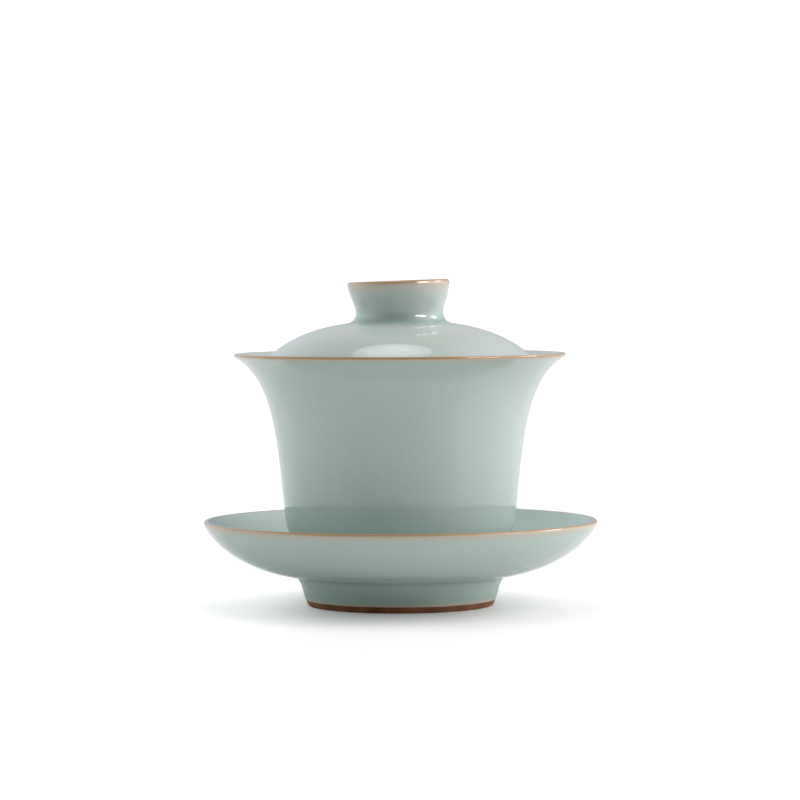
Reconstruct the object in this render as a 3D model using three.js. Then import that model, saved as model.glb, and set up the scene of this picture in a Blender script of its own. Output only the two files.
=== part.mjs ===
// A gaiwan: a handleless tea bowl that stands on a saucer under a domed lid.
// Three separate pieces of fired clay, each turned about the upright Z axis.
// Millimetres, +Z up. The origin is the middle of the saucer's foot, where it stands.
import * as THREE from 'three';

// ---------------------------------------------------------------- driving dimensions

const saucerDiameter = 113.7;
const saucerHeight = 24.7; // to the top of the rim
const saucerWall = 3.1; // at the floor, thinning to the rim
const saucerRimThickness = 1.6;
const saucerRimAngle = 63; // degrees above level at which the wall meets the rim
const saucerFootDiameter = 53.8; // where it stands
const saucerFootFlare = 2.4; // how much wider the foot's radius is at the top
const saucerFootHeight = 7;
const saucerFootRing = 3.4; // width of the ring that it stands on
const saucerFloorThickness = 3.8; // between the underside and the well
const wellDepth = 1.1; // shallow well that centres the bowl
const wellClearance = 0.9; // round the bowl's foot
const wellEdge = 0.4; // softened corners of the well

const bowlMouthDiameter = 95.7;
const bowlHeight = 61.75; // from its foot to its lip
const bowlWaistDiameter = 66.4; // just above the rounded base
const bowlWaistHeight = 13.2; // above the bowl's foot
const bowlWall = 2.8; // at the waist, thinning to the lip
const lipThickness = 1.1;
const lipAngle = 31; // degrees above level at which the wall meets the lip
const bowlFootDiameter = 47;
const bowlFootHeight = 5.6;
const bowlFootRing = 2.8;
const bowlFootRecess = 4.4; // how far the base is hollowed inside the ring
const bowlFloorThickness = 3.6;
const bowlFloorDiameter = 27.5; // the flat in the middle of the inside
const bowlRestGap = 0.25; // between the bowl's foot and the floor of the well

const lidSeatDepth = 4.5; // from the bowl's lip down to the middle of the lid's edge
const lidRise = 13.95; // from the middle of the edge to the top of the dome
const lidWall = 2.8; // in the middle, thinning to the edge
const lidEdgeThickness = 1.8;
const lidEdgeAngle = 131; // degrees above level at which the dome leaves the edge
const lidRestGap = 0.25; // between the lid's edge and the inside of the bowl

const knobDiameter = 29.4; // the open cup on top of the lid
const knobHeight = 11.4; // above the top of the dome
const knobNeckDiameter = 25.2;
const knobNeckHeight = 2.4; // above the top of the dome
const knobFillet = 3.2; // how much wider than the neck its base is on the dome
const knobWall = 2.2;
const knobRimThickness = 1.6;
const knobRimAngle = 85;
const knobFloorRise = 0.5; // the cup's floor above the top of the dome
const knobFloorFillet = 2;
const knobLean = 1.9; // degrees that the knob tips towards -X, as set on by hand

const footFillet = 1.8; // where a foot runs into the body above it
const edgeBreak = 0.5; // softened corners of the two foot rings
const turnSteps = 48; // facets round each piece
const wallSteps = 12; // facets along a wall
const filletSteps = 4;

// ---------------------------------------------------------------- profile tools
// A profile is a list of points (radius, height), traced with the clay on its left.

const at = (radius, height) => new THREE.Vector2(radius, height);

function heading(degrees, length) {
  const angle = THREE.MathUtils.degToRad(degrees);
  return at(Math.cos(angle) * length, Math.sin(angle) * length);
}

// A smooth curve from one end to another. Each end has a point, the angle above level at which
// the curve passes it, and a pull: its handle's length as a share of the distance between them.
function sweep(from, to) {
  const span = from.point.distanceTo(to.point);
  const firstHandle = from.point.clone().add(heading(from.angle, from.pull * span));
  const lastHandle = to.point.clone().sub(heading(to.angle, to.pull * span));
  return new THREE.CubicBezierCurve(from.point, firstHandle, lastHandle, to.point);
}

// Points beside a curve, on its left, at a distance that changes evenly along it.
function beside(curve, firstDistance, lastDistance, steps) {
  const points = [];
  for (let i = 0; i <= steps; i += 1) {
    const share = i / steps;
    const tangent = curve.getTangent(share);
    const left = at(-tangent.y, tangent.x);
    const distance = THREE.MathUtils.lerp(firstDistance, lastDistance, share);
    points.push(curve.getPoint(share).addScaledVector(left, distance));
  }
  return points;
}

// A half-round edge between the two faces of a wall that arrives at an angle above level.
function roundEdge(centre, thickness, angle) {
  const first = THREE.MathUtils.degToRad(angle - 90);
  const last = THREE.MathUtils.degToRad(angle + 90);
  const radius = thickness / 2;
  const arc = new THREE.EllipseCurve(centre.x, centre.y, radius, radius, first, last);
  return arc.getPoints(filletSteps);
}

// The radius of a profile that runs upwards, at a height that it passes.
function radiusAtHeight(points, height) {
  const next = points.findIndex((point) => point.y >= height);
  const above = points[next];
  const below = points[next - 1];
  const share = (height - below.y) / (above.y - below.y);
  return THREE.MathUtils.lerp(below.x, above.x, share);
}

// How far along a curve that runs inwards it crosses a radius, as a share of the curve.
function shareAtRadius(curve, radius) {
  let outside = 0;
  let inside = 1;
  while (inside - outside > 1e-6) {
    const middle = (outside + inside) / 2;
    if (curve.getPoint(middle).x > radius) outside = middle;
    else inside = middle;
  }
  return outside;
}

// A foot ring's section, from the ceiling inside it, down and out to its outer corner.
function footRing(innerRadius, outerRadius, ceiling, bottom) {
  return [
    at(0, ceiling),
    at(innerRadius - footFillet, ceiling),
    at(innerRadius, ceiling - footFillet),
    at(innerRadius, bottom + edgeBreak),
    at(innerRadius + edgeBreak, bottom),
    at(outerRadius - edgeBreak, bottom),
    at(outerRadius, bottom + edgeBreak),
  ];
}

function turned(profile) {
  return new THREE.LatheGeometry(profile, turnSteps).rotateX(Math.PI / 2);
}

// ---------------------------------------------------------------- saucer

const saucerFootRadius = saucerFootDiameter / 2;
const bowlFootRadius = bowlFootDiameter / 2;
const wellRadius = bowlFootRadius + wellClearance;
const dishStart = at(
  saucerFootRadius + saucerFootFlare + footFillet,
  saucerFootHeight + footFillet,
);
const dishFloor = dishStart.y + saucerWall;
const wellFloor = dishFloor - wellDepth;

function saucerProfile() {
  const rimRadius = saucerRimThickness / 2;
  const rimCentre = at(saucerDiameter / 2 - rimRadius, saucerHeight - rimRadius);
  const rim = roundEdge(rimCentre, saucerRimThickness, saucerRimAngle);
  const footTop = at(dishStart.x - footFillet, saucerFootHeight);
  const footSide = sweep(
    { point: at(saucerFootRadius, edgeBreak), angle: 62, pull: 0.5 },
    { point: footTop, angle: 58, pull: 0.3 },
  );
  const underside = sweep(
    { point: dishStart, angle: 5, pull: 0.34 },
    { point: rim[0], angle: saucerRimAngle, pull: 0.31 },
  );
  const dishInside = beside(underside, saucerWall, saucerRimThickness, wallSteps).reverse();
  const ringInside = saucerFootRadius - saucerFootRing;

  return [
    ...footRing(ringInside, saucerFootRadius, wellFloor - saucerFloorThickness, 0),
    ...footSide.getPoints(filletSteps).slice(1),
    ...underside.getPoints(wallSteps),
    ...rim.slice(1),
    ...dishInside.slice(1),
    at(wellRadius + wellEdge, dishFloor),
    at(wellRadius, dishFloor - wellEdge),
    at(wellRadius, wellFloor + wellEdge),
    at(wellRadius - wellEdge, wellFloor),
    at(0, wellFloor),
  ];
}

// ---------------------------------------------------------------- bowl

const bowlBottom = wellFloor + bowlRestGap;
const bowlLip = bowlBottom + bowlHeight;
const bowlWaist = {
  point: at(bowlWaistDiameter / 2, bowlBottom + bowlWaistHeight),
  angle: 84,
};
const lipRadius = lipThickness / 2;
const lipCentre = at(bowlMouthDiameter / 2 - lipRadius, bowlLip - lipRadius);
const lip = roundEdge(lipCentre, lipThickness, lipAngle);
const bowlSide = sweep(
  { ...bowlWaist, pull: 0.45 },
  { point: lip[0], angle: lipAngle, pull: 0.273 },
);

function bowlProfile() {
  const baseStart = at(bowlFootRadius + footFillet, bowlBottom + bowlFootHeight);
  const base = sweep(
    { point: baseStart, angle: 8, pull: 0.42 },
    { ...bowlWaist, pull: 0.34 },
  );
  const inside = beside(bowlSide, bowlWall, lipThickness, wallSteps).reverse();
  const ceiling = bowlBottom + bowlFootRecess;
  const floor = ceiling + bowlFloorThickness;
  const insideBase = sweep(
    { point: inside[wallSteps], angle: bowlWaist.angle + 180, pull: 0.3 },
    { point: at(bowlFloorDiameter / 2, floor), angle: 182, pull: 0.5 },
  );

  return [
    ...footRing(bowlFootRadius - bowlFootRing, bowlFootRadius, ceiling, bowlBottom),
    at(bowlFootRadius, baseStart.y - footFillet),
    ...base.getPoints(filletSteps * 2),
    ...bowlSide.getPoints(wallSteps).slice(1),
    ...lip.slice(1),
    ...inside.slice(1),
    ...insideBase.getPoints(filletSteps * 2).slice(1),
    at(0, floor),
  ];
}

// ---------------------------------------------------------------- lid

// The lid is as wide as the bowl is at the seat's depth, less the rest gap all round.
const lidEdgeRadius = lidEdgeThickness / 2;
const lidEdgeTrack = beside(
  bowlSide,
  bowlWall + lidRestGap + lidEdgeRadius,
  lipThickness + lidRestGap + lidEdgeRadius,
  wallSteps * filletSteps,
);
const lidEdgeHeight = bowlLip - lidSeatDepth;
const lidEdgeCentre = at(radiusAtHeight(lidEdgeTrack, lidEdgeHeight), lidEdgeHeight);
const domeTop = lidEdgeHeight + lidRise;

function lidProfile() {
  const edge = roundEdge(lidEdgeCentre, lidEdgeThickness, lidEdgeAngle - 180);
  const dome = sweep(
    { point: edge[edge.length - 1], angle: lidEdgeAngle, pull: 0.37 },
    { point: at(0, domeTop), angle: 180, pull: 0.35 },
  );
  const neck = { point: at(knobNeckDiameter / 2, domeTop + knobNeckHeight), angle: 91 };
  const domeShare = shareAtRadius(dome, neck.point.x + knobFillet);
  const domeOutside = [];
  for (let i = 0; i <= wallSteps; i += 1) {
    domeOutside.push(dome.getPoint((domeShare * i) / wallSteps));
  }
  const ceiling = beside(dome, lidEdgeThickness, lidWall, wallSteps).reverse();

  const rimRadius = knobRimThickness / 2;
  const rimCentre = at(knobDiameter / 2 - rimRadius, domeTop + knobHeight - rimRadius);
  const rim = roundEdge(rimCentre, knobRimThickness, knobRimAngle);
  const base = sweep(
    { point: domeOutside[wallSteps], angle: 173, pull: 0.5 },
    { ...neck, pull: 0.45 },
  );
  const flare = sweep(
    { ...neck, pull: 0.2 },
    { point: rim[0], angle: knobRimAngle, pull: 0.43 },
  );
  const cupSteps = filletSteps * 2;
  const cupSide = beside(flare, knobWall, knobRimThickness, cupSteps).reverse();
  const cupNeck = cupSide[cupSteps];
  const cupFloor = domeTop + knobFloorRise;
  const cupCorner = sweep(
    { point: cupNeck, angle: 270, pull: 0.3 },
    { point: at(cupNeck.x - knobFloorFillet, cupFloor), angle: 180, pull: 0.4 },
  );

  return [
    at(0, ceiling[0].y),
    ...ceiling.slice(1),
    ...edge.slice(1),
    ...domeOutside.slice(1),
    ...base.getPoints(filletSteps).slice(1),
    ...flare.getPoints(cupSteps).slice(1),
    ...rim.slice(1),
    ...cupSide.slice(1),
    ...cupCorner.getPoints(filletSteps).slice(1),
    at(0, cupFloor),
  ];
}

// Tips what stands above the dome, more towards the top, so that its +X side is the higher.
function leanKnob(geometry) {
  const position = geometry.getAttribute('position');
  const pivot = new THREE.Vector3(0, 0, domeTop);
  const axis = new THREE.Vector3(0, -1, 0);
  const vertex = new THREE.Vector3();
  for (let i = 0; i < position.count; i += 1) {
    vertex.fromBufferAttribute(position, i).sub(pivot);
    const share = THREE.MathUtils.clamp(vertex.z / knobHeight, 0, 1);
    vertex.applyAxisAngle(axis, THREE.MathUtils.degToRad(knobLean * share)).add(pivot);
    position.setXYZ(i, vertex.x, vertex.y, vertex.z);
  }
  return geometry;
}

// ---------------------------------------------------------------- the three pieces

function piece(name, geometry) {
  const glaze = new THREE.MeshStandardMaterial({ color: 0xafc0ba, roughness: 0.12, metalness: 0 });
  const mesh = new THREE.Mesh(geometry, glaze);
  mesh.name = name;
  return mesh;
}

const gaiwan = new THREE.Group();
gaiwan.add(piece('saucer', turned(saucerProfile())));
gaiwan.add(piece('bowl', turned(bowlProfile())));
gaiwan.add(piece('lid', leanKnob(turned(lidProfile()))));

export default gaiwan;
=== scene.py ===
import math

import bpy
import numpy as np
from mathutils import Matrix, Vector

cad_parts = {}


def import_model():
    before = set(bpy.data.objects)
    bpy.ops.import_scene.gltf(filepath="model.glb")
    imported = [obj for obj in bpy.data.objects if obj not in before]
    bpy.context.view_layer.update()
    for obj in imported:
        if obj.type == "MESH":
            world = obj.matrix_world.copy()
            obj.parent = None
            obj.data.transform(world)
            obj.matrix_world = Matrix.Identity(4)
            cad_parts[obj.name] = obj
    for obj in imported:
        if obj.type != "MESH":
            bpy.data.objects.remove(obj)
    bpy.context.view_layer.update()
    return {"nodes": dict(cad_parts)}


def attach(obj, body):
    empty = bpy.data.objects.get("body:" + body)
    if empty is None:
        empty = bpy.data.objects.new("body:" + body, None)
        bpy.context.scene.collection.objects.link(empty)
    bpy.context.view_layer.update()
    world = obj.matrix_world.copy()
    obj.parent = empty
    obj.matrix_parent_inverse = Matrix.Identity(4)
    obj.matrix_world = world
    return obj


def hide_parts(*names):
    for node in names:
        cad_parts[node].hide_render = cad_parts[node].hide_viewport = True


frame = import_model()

# A gaiwan in three turned pieces: saucer, bowl and lid. Each piece's section is read from the
# frame, made fine, given its glaze in numbers, and thrown on a potter's wheel of nodes.

MM = 0.001
WELD = 1e-6  # vertices closer than this are one

# Sections
IN_PLANE = 2  # a vertex at most this many welds off the XZ plane is in it
ON_AXIS = 0.02 * MM  # a vertex at most this far off the axis is on it
STRAIGHT = 0.4  # a step is a long straight if the step beside it is under this share of it
LONGEST_STEP = 1.3 * MM  # between two rows of a wall
SHARPEST_STEP = math.radians(4)  # between two rows of a curve
LIP_REACH = 1.7 * MM  # a lip is a wall's end within this of either side
LIP_TURN = math.radians(140)  # how far a wall turns there, at least
POOL_REACH = 0.9 * MM  # a hollow's curve is averaged over about this
POOL_CURVES = (60, 420)  # curvature, 1/m, at which glaze starts to pool and at which it is deepest
PAST_LIP = 1.9  # the glaze is back to its depth this much sooner past a lip than before it
FAR_FROM_LIP = 0.1  # metres, for a row with no lip near it
NO_FOOT = 1.0  # metres above a foot, for a piece that isn't fired on one
GLAZE_STOP = 1.8 * MM  # bare clay below this, above a piece's own foot


# ------------------------------------------------------------------------------ sections

def plane_edges(node):
    """The node's welded vertices that lie in the XZ plane, and which of them share an edge."""
    mesh = frame["nodes"][node].data
    points = np.empty(len(mesh.vertices) * 3, np.float32)
    mesh.vertices.foreach_get("co", points)
    corners = np.empty(len(mesh.loops), np.int32)
    mesh.loops.foreach_get("vertex_index", corners)
    grid = np.round(points.reshape(-1, 3) / WELD).astype(np.int64)
    welded, place = np.unique(grid, axis=0, return_inverse=True)
    faces = place.reshape(-1)[corners].reshape(-1, 3)
    flat = np.abs(welded[:, 1]) <= IN_PLANE
    near = {}
    for face in faces:
        for a, b in ((0, 1), (1, 2), (2, 0)):
            one, other = int(face[a]), int(face[b])
            if one != other and flat[one] and flat[other]:
                near.setdefault(one, set()).add(other)
                near.setdefault(other, set()).add(one)
    return welded[:, [0, 2]] * WELD, near


def walk(points, near, first, side):
    """The outline from one axis vertex to the other, on the +X side or the -X side."""
    path = [first, max(near[first], key=lambda v: points[v][0] * side)]
    while abs(points[path[-1]][0]) > ON_AXIS:
        path.append(next(v for v in near[path[-1]] if v != path[-2]))
    return points[path]


def cad_rows(node):
    """Each ring of a turned node, from the middle of its underside round to the middle of its
    top: the ring's +X end and its centre, as x, z, centre x, centre z."""
    points, near = plane_edges(node)
    on_axis = [v for v in near if abs(points[v][0]) <= ON_AXIS]
    first = min(on_axis, key=lambda v: points[v][1])
    right = walk(points, near, first, 1)
    left = walk(points, near, first, -1)
    return np.hstack([right, (right + left) / 2])


def guarded(rows):
    """Rows with a point added near each end of a long straight, so that it stays straight."""
    lengths = np.linalg.norm(np.diff(rows[:, :2], axis=0), axis=1)
    kept = [rows[0]]
    for i, length in enumerate(lengths):
        before = lengths[i - 1] if i else length
        after = lengths[i + 1] if i + 1 < len(lengths) else length
        step = rows[i + 1] - rows[i]
        if before < STRAIGHT * length:
            kept.append(rows[i] + step * before / length)
        if after < STRAIGHT * length:
            kept.append(rows[i + 1] - step * after / length)
        kept.append(rows[i + 1])
    return np.array(kept)


def turning(points):
    """The angle that a line turns through at each of its points, in radians, left positive."""
    steps = np.diff(points[:, :2], axis=0)
    headings = np.unwrap(np.arctan2(steps[:, 1], steps[:, 0]))
    return np.concatenate([[0], np.diff(headings), [0]])


def fine_rows(rows):
    """Rows on a smooth curve through the given ones, closer together where it bends. None goes
    past the given ones' furthest, so that a foot stays flat and a rim keeps its height."""
    rows = guarded(rows)
    lengths = np.linalg.norm(np.diff(rows[:, :2], axis=0), axis=1)
    slopes = np.diff(rows, axis=0) / lengths[:, None]
    weights = lengths[1:] / (lengths[1:] + lengths[:-1])
    inner = slopes[:-1] * weights[:, None] + slopes[1:] * (1 - weights[:, None])
    tangents = np.vstack([slopes[:1], inner, slopes[-1:]])
    bends = np.abs(turning(rows))
    fine = [rows[0]]
    for i, length in enumerate(lengths):
        bend = (bends[i] + bends[i + 1]) / 2
        count = max(1, math.ceil(length / LONGEST_STEP), math.ceil(bend / SHARPEST_STEP))
        for k in range(1, count + 1):
            t = k / count
            start = (1 + 2 * t) * (1 - t) ** 2 * rows[i]
            end = t * t * (3 - 2 * t) * rows[i + 1]
            pull = t * (1 - t) * length * ((1 - t) * tangents[i] - t * tangents[i + 1])
            fine.append(start + end + pull)
    return np.clip(fine, rows.min(axis=0), rows.max(axis=0))


def spread(values, along, reach):
    """Values averaged along a section over about the given reach."""
    shares = np.gradient(along)
    gaps = (along[:, None] - along[None, :]) / reach
    weights = np.exp(-0.5 * gaps * gaps) * shares[None, :]
    return weights @ values / weights.sum(axis=1)


def between(low, high, value):
    """A smooth step from 0 at low to 1 at high."""
    t = np.clip((value - low) / (high - low), 0, 1)
    return t * t * (3 - 2 * t)


def lips(along, turns):
    """Where along a section its wall doubles back on itself within a few millimetres."""
    window = np.abs(along[:, None] - along[None, :]) < LIP_REACH
    doubled = window @ np.maximum(turns, 0) > LIP_TURN
    found = []
    for i in np.flatnonzero(doubled):
        if not found or along[i] - found[-1][-1] > LIP_REACH:
            found.append([])
        found[-1].append(along[i])
    return [np.mean(lip) for lip in found]


def glazed_section(node, footed, run):
    """A piece's fine section, and what its glaze does at each row: how far the row is from a lip,
    in runs of the glaze off that lip, with the way past it counted as longer; how deep the glaze
    pools in hollows; and how high the row stands above the foot that it was fired on."""
    rows = fine_rows(cad_rows(node))
    steps = np.linalg.norm(np.diff(rows[:, :2], axis=0), axis=1)
    along = np.concatenate([[0], np.cumsum(steps)])
    turns = turning(rows)
    curve = turns / np.maximum(np.gradient(along), 1e-9)
    pool = between(*POOL_CURVES, spread(np.maximum(-curve, 0), along, POOL_REACH))
    height = rows[:, 1] - rows[:, 1].min()
    foot = height if footed else np.full(len(rows), NO_FOOT)
    above_foot = foot > 2 * GLAZE_STOP
    from_lip = np.full(len(rows), FAR_FROM_LIP)
    for lip in lips(along, np.where(above_foot, turns, 0)):
        past = along - lip
        from_lip = np.minimum(from_lip, np.where(past > 0, past * PAST_LIP, -past))
    return {"rows": rows, "along": along, "lip": from_lip / run, "pool": pool, "foot": foot}


# ------------------------------------------------------------------------------ node helpers

def add(tree, kind, inputs=(), **settings):
    """A new node with its settings, and its inputs linked or set."""
    made = tree.nodes.new(kind)
    for name, value in settings.items():
        setattr(made, name, value)
    for key, value in dict(inputs).items():
        if isinstance(value, bpy.types.NodeSocket):
            tree.links.new(value, made.inputs[key])
        else:
            made.inputs[key].default_value = value
    return made


def maths(tree, operation, *values):
    return add(tree, "ShaderNodeMath", enumerate(values), operation=operation).outputs[0]


def vector(tree, operation, *values):
    made = add(tree, "ShaderNodeVectorMath", enumerate(values), operation=operation)
    return made.outputs["Value" if operation in ("LENGTH", "DOT_PRODUCT") else "Vector"]


def scaled(tree, value, by):
    made = add(tree, "ShaderNodeVectorMath", {0: value, "Scale": by}, operation="SCALE")
    return made.outputs["Vector"]


def joined(tree, x, y, z):
    return add(tree, "ShaderNodeCombineXYZ", {"X": x, "Y": y, "Z": z}).outputs[0]


# ------------------------------------------------------------------------------ the wheel

WHEEL_STEPS = 264  # facets round a piece
WOBBLE_ROUND = 0.7  # how fast the wobble changes round a piece, as the radius of a walk in noise
WOBBLE_ALONG = 18.0  # how fast it changes along a section, per metre
GLAZE_FACTS = ("along", "lip", "pool", "foot")


def potters_wheel():
    """A tree that turns a section about its rings' centres. The section's points are rows; each
    holds its ring's centre. A slow wobble keeps the turning from being perfect."""
    tree = bpy.data.node_groups.new("potters_wheel", "GeometryNodeTree")
    for name, kind in (
        ("Section", "NodeSocketGeometry"),
        ("Steps", "NodeSocketInt"),
        ("Wobble", "NodeSocketFloat"),
        ("Turn of Seed", "NodeSocketFloat"),
        ("Finish", "NodeSocketMaterial"),
    ):
        tree.interface.new_socket(name=name, in_out="INPUT", socket_type=kind)
    tree.interface.new_socket(name="Pot", in_out="OUTPUT", socket_type="NodeSocketGeometry")
    given = add(tree, "NodeGroupInput").outputs

    count = add(tree, "GeometryNodeAttributeDomainSize", {"Geometry": given["Section"]})
    across = maths(tree, "ADD", given["Steps"], 1)
    grid = add(
        tree,
        "GeometryNodeMeshGrid",
        {"Vertices X": count.outputs["Point Count"], "Vertices Y": across},
    ).outputs["Mesh"]
    index = add(tree, "GeometryNodeInputIndex").outputs[0]
    row = maths(tree, "FLOOR", maths(tree, "DIVIDE", maths(tree, "ADD", index, 0.5), across))
    facet = maths(tree, "SUBTRACT", index, maths(tree, "MULTIPLY", row, across))
    angle = maths(tree, "MULTIPLY", maths(tree, "DIVIDE", facet, given["Steps"]), math.tau)
    cosine = maths(tree, "COSINE", angle)
    sine = maths(tree, "SINE", angle)

    def of_row(field, kind):
        sample = add(
            tree,
            "GeometryNodeSampleIndex",
            {"Geometry": given["Section"], "Index": row},
            data_type=kind,
        )
        tree.links.new(field, sample.inputs["Value"])
        return sample.outputs["Value"]

    def named(name, kind):
        kept = add(tree, "GeometryNodeInputNamedAttribute", {"Name": name}, data_type=kind)
        return kept.outputs[0]

    end = of_row(add(tree, "GeometryNodeInputPosition").outputs[0], "FLOAT_VECTOR")
    centre = of_row(named("centre", "FLOAT_VECTOR"), "FLOAT_VECTOR")
    along = of_row(named("along", "FLOAT"), "FLOAT")
    arm = vector(tree, "SUBTRACT", end, centre)
    radius = vector(tree, "LENGTH", arm)

    seat = joined(
        tree,
        maths(tree, "MULTIPLY", cosine, WOBBLE_ROUND),
        maths(tree, "MULTIPLY", sine, WOBBLE_ROUND),
        maths(tree, "ADD", maths(tree, "MULTIPLY", along, WOBBLE_ALONG), given["Turn of Seed"]),
    )
    wander = add(tree, "ShaderNodeTexNoise", {"Vector": seat, "Scale": 1.0, "Detail": 1.0})
    swing = maths(tree, "SUBTRACT", wander.outputs[0], 0.5)
    wobble = maths(tree, "MULTIPLY", swing, given["Wobble"])
    growth = maths(tree, "ADD", 1.0, maths(tree, "DIVIDE", wobble, maths(tree, "ADD", radius, MM)))

    across_x = scaled(tree, arm, maths(tree, "MULTIPLY", cosine, growth))
    sideways = maths(tree, "MULTIPLY", maths(tree, "MULTIPLY", radius, sine), growth)
    across_y = joined(tree, 0.0, sideways, 0.0)
    place = vector(tree, "ADD", centre, vector(tree, "ADD", across_x, across_y))
    pot = add(tree, "GeometryNodeSetPosition", {"Geometry": grid, "Position": place}).outputs[0]
    for name in GLAZE_FACTS:
        held = add(
            tree,
            "GeometryNodeStoreNamedAttribute",
            {"Geometry": pot, "Name": name},
            data_type="FLOAT",
        )
        tree.links.new(of_row(named(name, "FLOAT"), "FLOAT"), held.inputs["Value"])
        pot = held.outputs[0]
    for kind, settings in (
        ("MergeByDistance", {"Distance": WELD}),
        ("SetShadeSmooth", {"Shade Smooth": True}),
        ("RealizeInstances", {}),
        ("SetMaterial", {"Material": given["Finish"]}),
    ):
        pot = add(tree, "GeometryNode" + kind, {"Geometry": pot, **settings}).outputs[0]
    add(tree, "NodeGroupOutput", {"Pot": pot})
    return tree


def throw(name, section, wheel, finish, wobble, seed):
    """A finished piece, turned on the wheel from its section, as a plain mesh."""
    rows = section["rows"]
    points = [(x, 0, z) for x, z in rows[:, :2]]
    edges = [(i, i + 1) for i in range(len(rows) - 1)]
    mesh = bpy.data.meshes.new(name + "_section")
    mesh.from_pydata(points, edges, [])
    centres = mesh.attributes.new("centre", "FLOAT_VECTOR", "POINT")
    centres.data.foreach_set("vector", np.insert(rows[:, 2:], 1, 0, axis=1).ravel())
    for fact in GLAZE_FACTS:
        mesh.attributes.new(fact, "FLOAT", "POINT").data.foreach_set("value", section[fact])
    blank = bpy.data.objects.new(name + "_section", mesh)
    bpy.context.scene.collection.objects.link(blank)

    modifier = blank.modifiers.new("wheel", "NODES")
    modifier.node_group = wheel
    sockets = wheel.interface.items_tree
    given = {item.name: item.identifier for item in sockets if item.in_out == "INPUT"}
    modifier[given["Steps"]] = WHEEL_STEPS
    modifier[given["Wobble"]] = wobble
    modifier[given["Turn of Seed"]] = seed
    modifier[given["Finish"]] = finish
    graph = bpy.context.evaluated_depsgraph_get()
    turned = bpy.data.meshes.new_from_object(blank.evaluated_get(graph), depsgraph=graph)
    blank.modifiers.remove(modifier)
    bpy.data.objects.remove(blank)
    bpy.data.meshes.remove(mesh)

    turned.name = name
    piece = bpy.data.objects.new(name, turned)
    bpy.context.scene.collection.objects.link(piece)
    return piece


# ------------------------------------------------------------------------------ finishes

GLAZE = (0.385, 0.488, 0.452, 1)
GLAZE_PALE = (0.410, 0.515, 0.480, 1)
GLAZE_THIN = (0.435, 0.500, 0.475, 1)
# the colour of deep, pooled glaze, also used as painted shade low on a footed piece
GLAZE_POOLED_AND_SHADED = (0.250, 0.380, 0.330, 1)
EDGE_BLUSH = (0.490, 0.440, 0.365, 1)
EDGE_TAN = (0.470, 0.385, 0.275, 1)
EDGE_AMBER = (0.460, 0.325, 0.210, 1)
# painted shade: a darker amber, drawn as a fine line along a lip
EDGE_SHADE = (0.340, 0.205, 0.080, 1)
CLAY = (0.130, 0.043, 0.011, 1)
CLAY_LIGHT = (0.230, 0.085, 0.024, 1)

# How fine each pattern is, as a noise's scale to the metre
CLOUDS = 38.0
BUBBLES = 2600.0
SKIN = 210.0
WEAR = 70.0
GRIT = 2400.0
TOAST = 160.0
WANDER = 95.0  # of the glaze's edges
TINT = 19.0  # of the amber along a lip
SHADE_LINE = 240.0  # of the painted shade line on a lip
TURNING_RINGS = 2.1 * MM  # from one faint finger ring to the next

# Where a lip's colours start to fade and where they are gone, in runs of the glaze off it
# the painted shade line along a lip
SHADE_LINE_FADES = (0.35, 0.75)
AMBER_FADES = (0.60, 1.20)
BLUSH_FADES = (0.70, 3.20)

# Heights above the foot
LOW_AMBER_FADES = (GLAZE_STOP + 0.10 * MM, GLAZE_STOP + 0.40 * MM)
LOW_BLUSH_FADES = (GLAZE_STOP + 0.2 * MM, GLAZE_STOP + 1.2 * MM)
BARE_FADES = (GLAZE_STOP - 0.04 * MM, GLAZE_STOP + 0.04 * MM)
LOW_SHADE_FADES = (3.5 * MM, 9.0 * MM)  # painted shade: the glaze is darkened up to the first height above the foot, gone by the second
THINS = (0.015, 0.090)  # metres: the glaze gets thinner from the first to the second
EDGE_WANDERS = 0.30 * MM  # up and down, between its furthest

FLOAT = "NodeSocketFloat"
COLOUR = "NodeSocketColor"
PLACE = ("Place", "NodeSocketVector", (0, 0, 0))


def new_group(name, inputs, outputs):
    """A shader node group with its sockets, and what comes in by them."""
    tree = bpy.data.node_groups.new(name, "ShaderNodeTree")
    for socket, kind, value in inputs:
        made = tree.interface.new_socket(name=socket, in_out="INPUT", socket_type=kind)
        made.default_value = value
    for socket, kind in outputs:
        tree.interface.new_socket(name=socket, in_out="OUTPUT", socket_type=kind)
    return tree, add(tree, "NodeGroupInput").outputs


def placed(tree, group, inputs):
    return add(tree, "ShaderNodeGroup", inputs, node_tree=group).outputs


def fact(tree, name):
    return add(tree, "ShaderNodeAttribute", attribute_name=name).outputs["Fac"]


def surface(tree):
    return add(tree, "ShaderNodeTexCoord").outputs["Object"]


def noise(tree, place, scale, detail=2.0, roughness=0.5):
    made = add(
        tree,
        "ShaderNodeTexNoise",
        {"Vector": place, "Scale": scale, "Detail": detail, "Roughness": roughness},
    )
    return made.outputs[0]


def step(tree, value, low, high, first=0.0, last=1.0):
    """A smooth ramp from first to last as the value goes from low to high."""
    made = add(
        tree,
        "ShaderNodeMapRange",
        {"Value": value, "From Min": low, "From Max": high, "To Min": first, "To Max": last},
        interpolation_type="SMOOTHSTEP",
    )
    return made.outputs[0]


def mix(tree, share, one, other):
    """One colour to the other. A Mix node keeps its colours on sockets 6, 7 and 2."""
    sockets = {0: share, 6: one, 7: other}
    return add(tree, "ShaderNodeMix", sockets, data_type="RGBA").outputs[2]


def mix_value(tree, share, one, other):
    sockets = {0: share, 2: one, 3: other}
    return add(tree, "ShaderNodeMix", sockets, data_type="FLOAT").outputs[0]


def uneven(tree, value, wander, by):
    """A value pushed up and down by a noise, by at most half of the given amount."""
    push = maths(tree, "MULTIPLY", maths(tree, "SUBTRACT", wander, 0.5), by)
    return maths(tree, "ADD", value, push)


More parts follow.
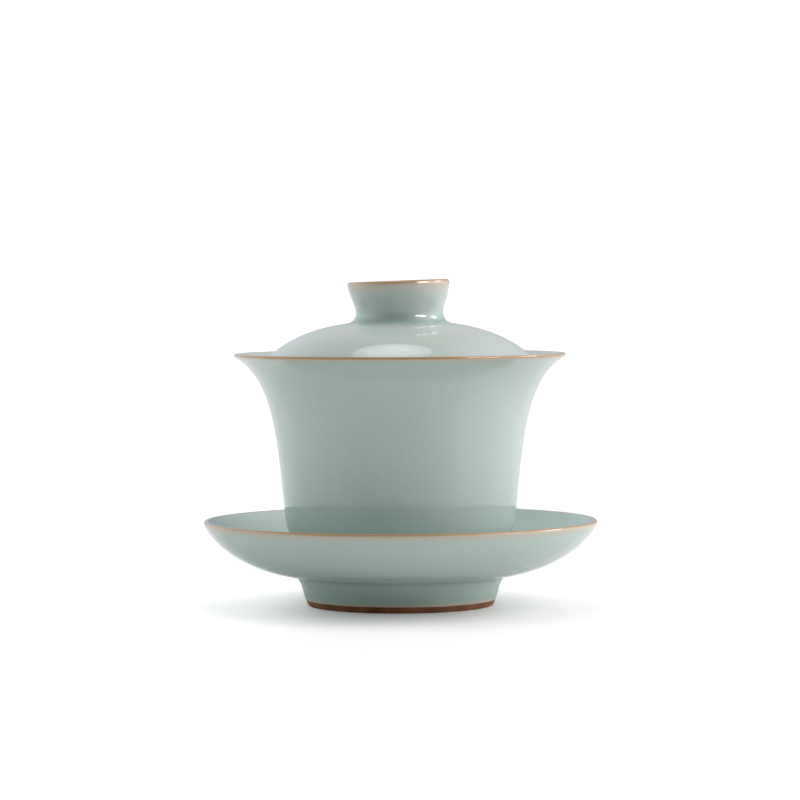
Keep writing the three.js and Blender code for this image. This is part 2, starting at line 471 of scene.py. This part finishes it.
def glaze_body():
    """Celadon where it lies at its full depth: clouded, deeper in hollows and, as painted shade,
    low on a footed piece, with fine bubbles.
    """
    tree, given = new_group(
        "glaze_body",
        [PLACE, ("Pool And Low Shade", FLOAT, 0.0), ("Thin", FLOAT, 0.0)],
        [("Colour", COLOUR), ("Gloss Loss", FLOAT), ("Height", FLOAT)],
    )
    place = given["Place"]
    clouds = noise(tree, place, CLOUDS, 3.0, 0.55)
    bubbles = noise(tree, place, BUBBLES, 1.0)
    colour = mix(tree, step(tree, clouds, 0.32, 0.68), GLAZE, GLAZE_PALE)
    colour = mix(tree, given["Thin"], colour, GLAZE_THIN)
    # deeper glaze in hollows, and painted shade low on a footed piece
    colour = mix(tree, uneven(tree, given["Pool And Low Shade"], clouds, 0.3), colour, GLAZE_POOLED_AND_SHADED)
    colour = scaled(tree, colour, step(tree, bubbles, 0.25, 0.75, 0.965, 1.035))
    skin = noise(tree, place, SKIN, 2.0, 0.45)
    loss = step(tree, noise(tree, place, WEAR, 4.0, 0.6), 0.35, 0.75)
    add(tree, "NodeGroupOutput", {"Colour": colour, "Gloss Loss": loss, "Height": skin})
    return tree


def bare_clay():
    """Iron-rich clay where the glaze was wiped off: gritty, darker where it was toasted."""
    tree, given = new_group("bare_clay", [PLACE], [("Colour", COLOUR), ("Height", FLOAT)])
    grit = noise(tree, given["Place"], GRIT, 3.0, 0.6)
    toast = noise(tree, given["Place"], TOAST, 2.0)
    colour = mix(tree, step(tree, toast, 0.35, 0.70), CLAY, CLAY_LIGHT)
    colour = mix(tree, step(tree, grit, 0.55, 0.75, 0.0, 0.5), colour, CLAY_LIGHT)
    add(tree, "NodeGroupOutput", {"Colour": colour, "Height": grit})
    return tree


def edge_colours():
    """Where the glaze runs thin and the clay shows through it: amber to tan along a lip, then a
    blush that fades into the glaze. On the lip itself, a fine dark line of painted shade."""
    tree, given = new_group(
        "edge_colours",
        [PLACE, ("From Lip", FLOAT, 20.0), ("Above Foot", FLOAT, 1.0)],
        [("Blush", FLOAT), ("Amber", FLOAT), ("Amber With Shade Line", COLOUR)],
    )
    wander = noise(tree, given["Place"], WANDER, 2.0)
    lip = uneven(tree, given["From Lip"], wander, 0.30)
    amber = step(tree, lip, *AMBER_FADES, 1.0, 0.0)
    blush = step(tree, lip, *BLUSH_FADES, 1.0, 0.0)
    foot = uneven(tree, given["Above Foot"], wander, EDGE_WANDERS)
    low_amber = step(tree, foot, *LOW_AMBER_FADES, 0.8, 0.0)
    low_blush = step(tree, foot, *LOW_BLUSH_FADES, 1.0, 0.0)
    tint = noise(tree, given["Place"], TINT, 3.0)
    colour = mix(tree, step(tree, tint, 0.38, 0.62), EDGE_AMBER, EDGE_TAN)
    # painted shade: the amber is darkened to a fine line along the lip itself
    line = uneven(tree, given["From Lip"], noise(tree, given["Place"], SHADE_LINE, 1.0), 0.20)
    colour = mix(tree, step(tree, line, *SHADE_LINE_FADES, 0.9, 0.0), colour, EDGE_SHADE)
    add(tree, "NodeGroupOutput", {
        "Blush": maths(tree, "MAXIMUM", blush, low_blush),
        "Amber": maths(tree, "MAXIMUM", amber, low_amber),
        "Amber With Shade Line": colour,
    })
    return tree


def celadon():
    """The one finish of all three pieces: glaze, its thin edges, and the bare clay of a foot."""
    mat = bpy.data.materials.new("celadon_glaze")
    mat.use_nodes = True
    tree = mat.node_tree
    tree.nodes.clear()
    place = surface(tree)
    foot = fact(tree, "foot")
    # painted shade: the glaze darkens low on each footed piece, towards its foot; it joins the real
    # pooling in hollows
    low_shade = step(tree, foot, *LOW_SHADE_FADES, 0.75, 0.0)
    pool = maths(tree, "MAXIMUM", fact(tree, "pool"), low_shade)
    thin = step(tree, foot, *THINS, 0.0, 0.8)
    body = placed(tree, glaze_body(), {"Place": place, "Pool And Low Shade": pool, "Thin": thin})
    clay = placed(tree, bare_clay(), {"Place": place})
    edge = placed(
        tree,
        edge_colours(),
        {"Place": place, "From Lip": fact(tree, "lip"), "Above Foot": foot},
    )
    blush = maths(tree, "MULTIPLY", edge["Blush"], 0.85)
    glaze = mix(tree, blush, body["Colour"], EDGE_BLUSH)
    glaze = mix(tree, edge["Amber"], glaze, edge["Amber With Shade Line"])
    stop = uneven(tree, foot, noise(tree, place, WANDER, 2.0), EDGE_WANDERS)
    bare = step(tree, stop, *BARE_FADES, 1.0, 0.0)

    turns = maths(tree, "MULTIPLY", fact(tree, "along"), math.tau / TURNING_RINGS)
    rings = maths(tree, "MULTIPLY", maths(tree, "SINE", turns), 0.06)
    skin = maths(tree, "ADD", body["Height"], rings)
    skin_bump = add(tree, "ShaderNodeBump", {"Height": skin, "Strength": 0.12, "Distance": 0.1 * MM})
    grit_bump = add(tree, "ShaderNodeBump", {
        "Height": maths(tree, "MULTIPLY", clay["Height"], bare),
        "Strength": 0.5,
        "Distance": 0.08 * MM,
        "Normal": skin_bump.outputs[0],
    })
    gloss = mix_value(tree, body["Gloss Loss"], 0.05, 0.10)
    bsdf = add(tree, "ShaderNodeBsdfPrincipled", {
        "Base Color": mix(tree, bare, glaze, clay["Colour"]),
        "Roughness": mix_value(tree, bare, gloss, 0.8),
        "IOR": 1.5,
        "Normal": grit_bump.outputs[0],
    })
    add(tree, "ShaderNodeOutputMaterial", {"Surface": bsdf.outputs[0]})
    return mat


# ------------------------------------------------------------------------------ studio

FLOOR_HALF = 8.0  # metres from its middle to its sides
FLOOR_WHITE = (0.85, 0.85, 0.85, 1)
FLOOR_ROUGHNESS = 0.5
FLOOR_GLOW = 0.08  # beside the pot
FLOOR_GLOW_FAR = 0.30
FLOOR_FAR = (0.10, 0.70)  # metres behind the pot: the glow rises from the first to the second
GLOW_LEFT = 0.34  # added under the saucer's left side, where its shadow is soft
GLOW_RIGHT = 0.12
GLOW_STARTS = (0.010, 0.045)  # metres left or right of the middle
GLOW_ENDS = (0.020, 0.105)  # metres in front or behind
GLOW_CROSSES = (-0.05, 0.05)  # metres: from the left's glow to the right's


def floor():
    """A pale table. What the camera sees of it glows a little, most under the saucer's sides."""
    half = FLOOR_HALF
    mesh = bpy.data.meshes.new("floor")
    corners = [(-half, -half, 0), (half, -half, 0), (half, half, 0), (-half, half, 0)]
    mesh.from_pydata(corners, [], [(0, 1, 2, 3)])
    mat = bpy.data.materials.new("floor_white")
    mat.use_nodes = True
    tree = mat.node_tree
    shader = tree.nodes["Principled BSDF"]
    shader.inputs["Base Color"].default_value = FLOOR_WHITE
    shader.inputs["Roughness"].default_value = FLOOR_ROUGHNESS
    shader.inputs["Emission Color"].default_value = (1, 1, 1, 1)
    place = add(tree, "ShaderNodeSeparateXYZ", {"Vector": surface(tree)}).outputs
    beside = step(tree, maths(tree, "ABSOLUTE", place["X"]), *GLOW_STARTS)
    level = step(tree, maths(tree, "ABSOLUTE", place["Y"]), *GLOW_ENDS, 1.0, 0.0)
    most = step(tree, place["X"], *GLOW_CROSSES, GLOW_LEFT, GLOW_RIGHT)
    glow = maths(tree, "MULTIPLY", maths(tree, "MULTIPLY", beside, level), most)
    seen = add(tree, "ShaderNodeLightPath").outputs["Is Camera Ray"]
    far = step(tree, place["Y"], *FLOOR_FAR, FLOOR_GLOW, FLOOR_GLOW_FAR)
    shown = maths(tree, "MULTIPLY", maths(tree, "ADD", glow, far), seen)
    tree.links.new(shown, shader.inputs["Emission Strength"])
    mesh.materials.append(mat)
    obj = bpy.data.objects.new("floor", mesh)
    bpy.context.scene.collection.objects.link(obj)


def softbox(name, place, aim, width, height, power, shape="RECTANGLE"):
    light = bpy.data.lights.new(name, "AREA")
    light.shape = shape
    light.size = width
    light.size_y = height
    light.energy = power
    obj = bpy.data.objects.new(name, light)
    obj.location = place
    obj.rotation_euler = (Vector(aim) - Vector(place)).to_track_quat("-Z", "Y").to_euler()
    bpy.context.scene.collection.objects.link(obj)
    return obj


def glint(*window):
    """A window that is seen in the glaze but adds nothing to the light that falls on it."""
    softbox(*window).visible_diffuse = False


def lamps():
    """A round light overhead with a brighter heart, and two windows to the right of the pot."""
    softbox("overhead", (-0.06, 0.30, 1.15), (-0.06, 0.30, 0), 0.58, 0.52, 1.60, "ELLIPSE")
    softbox("overhead_heart", (-0.06, 0.28, 1.14), (-0.06, 0.28, 0), 0.38, 0.34, 0.45, "ELLIPSE")
    glint("window_front", (0.68, -0.39, 0.43), (0, 0, 0.08), 0.44, 0.20, 5.6)
    glint("window_back", (0.74, 0.22, 0.43), (0, 0, 0.08), 0.30, 0.12, 2.0)


def facing(turn, rise):
    """A direction: degrees round from the camera's side towards the right, and degrees up."""
    turn, rise = math.radians(turn), math.radians(rise)
    return (math.cos(rise) * math.sin(turn), -math.cos(rise) * math.cos(turn), math.sin(rise))


# The cove's glows: where each is brightest, how tight it is, and its colour and strength
GLOWS = (
    (facing(90, 8), 4, (2.80, 2.52, 2.38)),
    (facing(135, 8), 4, (0.48, 0.67, 0.80)),
    (facing(-135, 8), 4, (1.10, 1.32, 1.45)),
    (facing(-90, 8), 4, (1.28, 1.30, 1.17)),
    (facing(90, 40), 6, (2.25, 2.08, 2.22)),
    (facing(-90, 40), 6, (0.78, 0.66, 0.72)),
    (facing(180, 40), 6, (0.40, 0.22, 0.16)),
    (facing(0, 90), 6, (0.20, 0.38, 0.30)),
)
BACKDROP = (1.05, 1.05, 1.05, 1)


def world():
    """A white cove: brightest beside the pot and dim on the camera's side. Seen straight, it is
    plain white."""
    made = bpy.data.worlds.new("studio")
    bpy.context.scene.world = made
    made.use_nodes = True
    tree = made.node_tree
    tree.nodes.clear()
    way = add(tree, "ShaderNodeTexCoord").outputs["Generated"]
    light = None
    for middle, tightness, colour in GLOWS:
        near = maths(tree, "MAXIMUM", vector(tree, "DOT_PRODUCT", way, middle), 0.0)
        glow = scaled(tree, colour, maths(tree, "POWER", near, tightness))
        light = vector(tree, "ADD", light, glow) if light else glow
    seen = add(tree, "ShaderNodeLightPath").outputs["Is Camera Ray"]
    shade = add(tree, "ShaderNodeBackground", {"Color": mix(tree, seen, light, BACKDROP)})
    add(tree, "ShaderNodeOutputWorld", {"Surface": shade.outputs[0]})


# The camera, in metres
EYE = Vector((0, -0.982, 0.0954))
AIM = Vector((0, 0, 0.0592))
LENS = 153.2  # millimetres, on a sensor 36 wide
ROLL = math.radians(-0.25)


def camera():
    data = bpy.data.cameras.new("camera")
    data.sensor_width = 36
    data.lens = LENS
    data.clip_end = 60
    obj = bpy.data.objects.new("camera", data)
    turn = (AIM - EYE).to_track_quat("-Z", "Y").to_matrix().to_4x4()
    obj.matrix_world = Matrix.Translation(EYE) @ turn @ Matrix.Rotation(ROLL, 4, "Z")
    bpy.context.scene.collection.objects.link(obj)
    bpy.context.scene.camera = obj


# ------------------------------------------------------------------------------ the object

finish = celadon()
wheel = potters_wheel()
for node, footed, run, wobble, seed in (
    ("saucer", True, 1.0 * MM, 0.10 * MM, 1.0),
    ("bowl", True, 0.8 * MM, 0.10 * MM, 5.0),
    ("lid", False, 1.45 * MM, 0.08 * MM, 9.0),
):
    piece = throw(node + "_fired", glazed_section(node, footed, run), wheel, finish, wobble, seed)
    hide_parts(node)
    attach(piece, node)

camera()
floor()
world()
lamps()
bpy.context.scene.view_settings.view_transform = "Standard"
